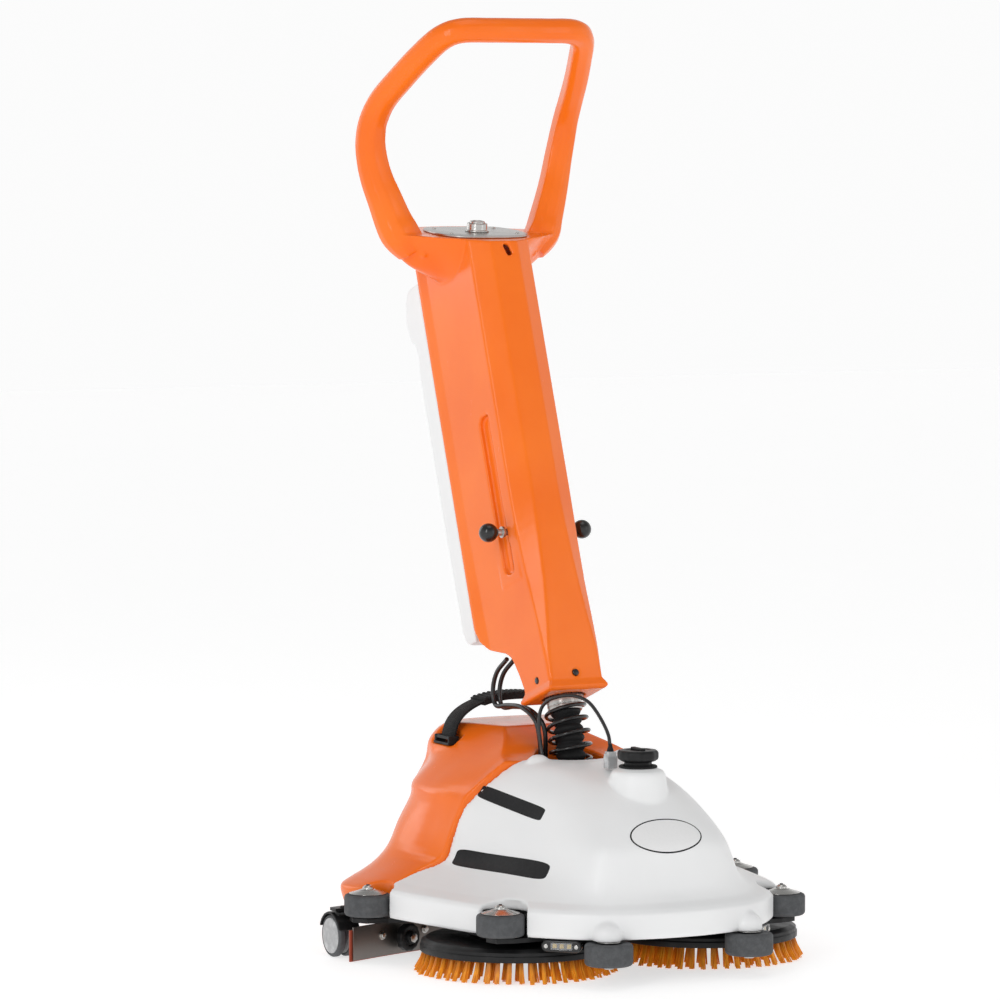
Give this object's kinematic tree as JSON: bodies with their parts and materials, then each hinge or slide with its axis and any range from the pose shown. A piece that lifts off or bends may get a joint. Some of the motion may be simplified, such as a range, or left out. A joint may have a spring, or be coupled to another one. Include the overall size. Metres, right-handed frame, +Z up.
{
  "type": "walk-behind floor scrubber",
  "caption": "Compact walk-behind floor machine with disc brushes, tanks, a squeegee and a sprung tilting column that carries a loop handle.",
  "frame": {"origin": "centre of the bounding box on the floor under the brushes", "axes": "+Z up; the machine faces and travels towards -Y; its own right-hand side is -X"},
  "size_m": [0.594, 0.6986, 1.1893],
  "materials": {
    "shell_orange": "gloss",
    "tank_white": "satin",
    "steel_plate": "satin",
    "brush_plastic": "satin",
    "bristle": "matte",
    "black_plastic": "satin",
    "roller_grey": "matte",
    "wheel_tread": "matte",
    "steel": "brushed",
    "spring_black": "gloss",
    "soft_rubber": "matte",
    "blade_red": "satin",
    "strap_web": "matte",
    "cable_black": "satin",
    "connector_white": "gloss",
    "lamp_case": "gloss",
    "board_green": "gloss",
    "motor_case": "satin"
  },
  "bodies": {
    "chassis": {"chassis_plate": "steel_plate", "clean_water_tank": "tank_white", "vacuum_motor": "motor_case", "water_pump": "motor_case", "control_board": "board_green", "joint_post": "black_plastic", "joint_spring": "spring_black", "joint_bellows": "soft_rubber", "suction_hose": "soft_rubber", "sensor_connector": "connector_white", "power_cable": "cable_black", "motor_cable": "cable_black", "sensor_cable": "cable_black", "brush_motor_left": "motor_case", "work_lamp_left": "lamp_case", "front_left_roller_mount": "steel", "rear_left_roller_mount": "steel", "side_left_roller_mount": "steel", "brush_motor_right": "motor_case", "work_lamp_right": "lamp_case", "front_right_roller_mount": "steel", "rear_right_roller_mount": "steel", "side_right_roller_mount": "steel"},
    "brush_left": {"brush_disc_left": "brush_plastic", "brush_bristles_left": "bristle"},
    "brush_right": {"brush_disc_right": "brush_plastic", "brush_bristles_right": "bristle"},
    "rear_roller_left": {"rear_left_roller": "roller_grey"},
    "rear_roller_right": {"rear_right_roller": "roller_grey"},
    "side_roller_left": {"side_left_roller": "roller_grey"},
    "side_roller_right": {"side_right_roller": "roller_grey"},
    "front_roller_left": {"front_left_roller": "roller_grey"},
    "front_roller_right": {"front_right_roller": "roller_grey"},
    "rear_fork_left": {"rear_wheel_fork_left": "black_plastic"},
    "rear_wheel_left": {"rear_wheel_left": "wheel_tread"},
    "rear_fork_right": {"rear_wheel_fork_right": "black_plastic"},
    "rear_wheel_right": {"rear_wheel_right": "wheel_tread"},
    "squeegee": {"squeegee_bar": "steel", "squeegee_blade": "blade_red", "squeegee_bracket": "steel"},
    "squeegee_clamp_left": {"squeegee_knob_left": "black_plastic"},
    "squeegee_clamp_right": {"squeegee_knob_right": "black_plastic"},
    "joint_cross": {"joint_cross": "steel"},
    "column": {"column_shell": "shell_orange", "handle_loop": "shell_orange", "control_plate": "steel", "joint_fork": "steel", "foot_screw_front": "black_plastic", "foot_screw_left": "black_plastic", "foot_screw_right": "black_plastic"},
    "battery": {"battery_pack": "tank_white"},
    "lift_bar": {"lift_rod": "steel", "lift_knob_left": "black_plastic", "lift_knob_right": "black_plastic"},
    "power_button": {"power_button": "steel"},
    "recovery_tank": {"recovery_tank": "shell_orange", "tank_strap": "strap_web", "strap_buckle_left": "black_plastic", "strap_buckle_right": "black_plastic"},
    "filler_cap": {"filler_cap": "black_plastic"}
  },
  "joints": [
    {"name": "brush_spin_left", "type": "hinge", "parent": "chassis", "child": "brush_left", "pos_m": [0.134, -0.14129, 0.03], "axis": [0, 0, 1], "continuous": true},
    {"name": "brush_spin_right", "type": "hinge", "parent": "chassis", "child": "brush_right", "pos_m": [-0.134, -0.14129, 0.03], "axis": [0, 0, 1], "continuous": true},
    {"name": "rear_roller_spin_left", "type": "hinge", "parent": "chassis", "child": "rear_roller_left", "pos_m": [0.267, 0.00671, 0.058], "axis": [0, 0, 1], "continuous": true},
    {"name": "rear_roller_spin_right", "type": "hinge", "parent": "chassis", "child": "rear_roller_right", "pos_m": [-0.267, 0.00671, 0.058], "axis": [0, 0, 1], "continuous": true},
    {"name": "side_roller_spin_left", "type": "hinge", "parent": "chassis", "child": "side_roller_left", "pos_m": [0.2, -0.22629, 0.058], "axis": [0, 0, 1], "continuous": true},
    {"name": "side_roller_spin_right", "type": "hinge", "parent": "chassis", "child": "side_roller_right", "pos_m": [-0.2, -0.22629, 0.058], "axis": [0, 0, 1], "continuous": true},
    {"name": "front_roller_spin_left", "type": "hinge", "parent": "chassis", "child": "front_roller_left", "pos_m": [0.099, -0.31929, 0.027], "axis": [0, 0, 1], "continuous": true},
    {"name": "front_roller_spin_right", "type": "hinge", "parent": "chassis", "child": "front_roller_right", "pos_m": [-0.099, -0.31929, 0.027], "axis": [0, 0, 1], "continuous": true},
    {"name": "rear_wheel_swivel_left", "type": "hinge", "parent": "chassis", "child": "rear_fork_left", "pos_m": [0.281, 0.04771, 0.05], "axis": [0, 0, 1], "range_deg": [-12, 12]},
    {"name": "rear_wheel_spin_left", "type": "hinge", "parent": "rear_fork_left", "child": "rear_wheel_left", "pos_m": [0.281, 0.05971, 0.027], "axis": [1, 0, 0], "continuous": true},
    {"name": "rear_wheel_swivel_right", "type": "hinge", "parent": "chassis", "child": "rear_fork_right", "pos_m": [-0.281, 0.04771, 0.05], "axis": [0, 0, 1], "range_deg": [-12, 12]},
    {"name": "rear_wheel_spin_right", "type": "hinge", "parent": "rear_fork_right", "child": "rear_wheel_right", "pos_m": [-0.281, 0.05971, 0.027], "axis": [1, 0, 0], "continuous": true},
    {"name": "squeegee_lift", "type": "slide", "parent": "chassis", "child": "squeegee", "axis": [0, 0, 1], "range_m": [0, 0.006], "deforming": ["suction_hose"]},
    {"name": "squeegee_clamp_left", "type": "hinge", "parent": "squeegee", "child": "squeegee_clamp_left", "pos_m": [0.20373, 0.03836, 0.023], "axis": [-0.3401, -0.9404, 0], "continuous": true},
    {"name": "squeegee_clamp_right", "type": "hinge", "parent": "squeegee", "child": "squeegee_clamp_right", "pos_m": [-0.20373, 0.03836, 0.023], "axis": [0.3401, -0.9404, 0], "continuous": true},
    {"name": "column_tilt", "type": "hinge", "parent": "chassis", "child": "joint_cross", "pos_m": [0, -0.03829, 0.262], "axis": [1, 0, 0], "range_deg": [-10, 20], "stiffness_Nm_per_rad": 300, "deforming": ["joint_spring", "joint_bellows", "power_cable", "motor_cable", "sensor_cable"]},
    {"name": "column_lean", "type": "hinge", "parent": "joint_cross", "child": "column", "pos_m": [0, -0.03829, 0.262], "axis": [0, -0.9397, 0.342], "range_deg": [-8, 8], "stiffness_Nm_per_rad": 300, "deforming": ["joint_spring", "joint_bellows", "power_cable", "motor_cable", "sensor_cable"]},
    {"name": "battery_slide", "type": "slide", "parent": "column", "child": "battery", "axis": [0, 0.9397, -0.342], "range_m": [0, 0.09]},
    {"name": "lift_slide", "type": "slide", "parent": "column", "child": "lift_bar", "axis": [0, 0.342, 0.9397], "range_m": [0, 0.14]},
    {"name": "button_press", "type": "slide", "parent": "column", "child": "power_button", "axis": [0, 0.0993, -0.9951], "range_m": [0, 0.003], "stiffness_N_per_m": 400, "springref_m": -0.001},
    {"name": "recovery_tank_slide", "type": "slide", "parent": "chassis", "child": "recovery_tank", "axis": [0, 1, 0], "range_m": [0, 0.2]},
    {"name": "filler_cap_lift", "type": "slide", "parent": "chassis", "child": "filler_cap", "axis": [0, 0, 1], "range_m": [0, 0.045]}
  ],
  "couplings": [
    {"joint": "squeegee_lift", "follows": "lift_slide", "ratio": 0.042857}
  ]
}
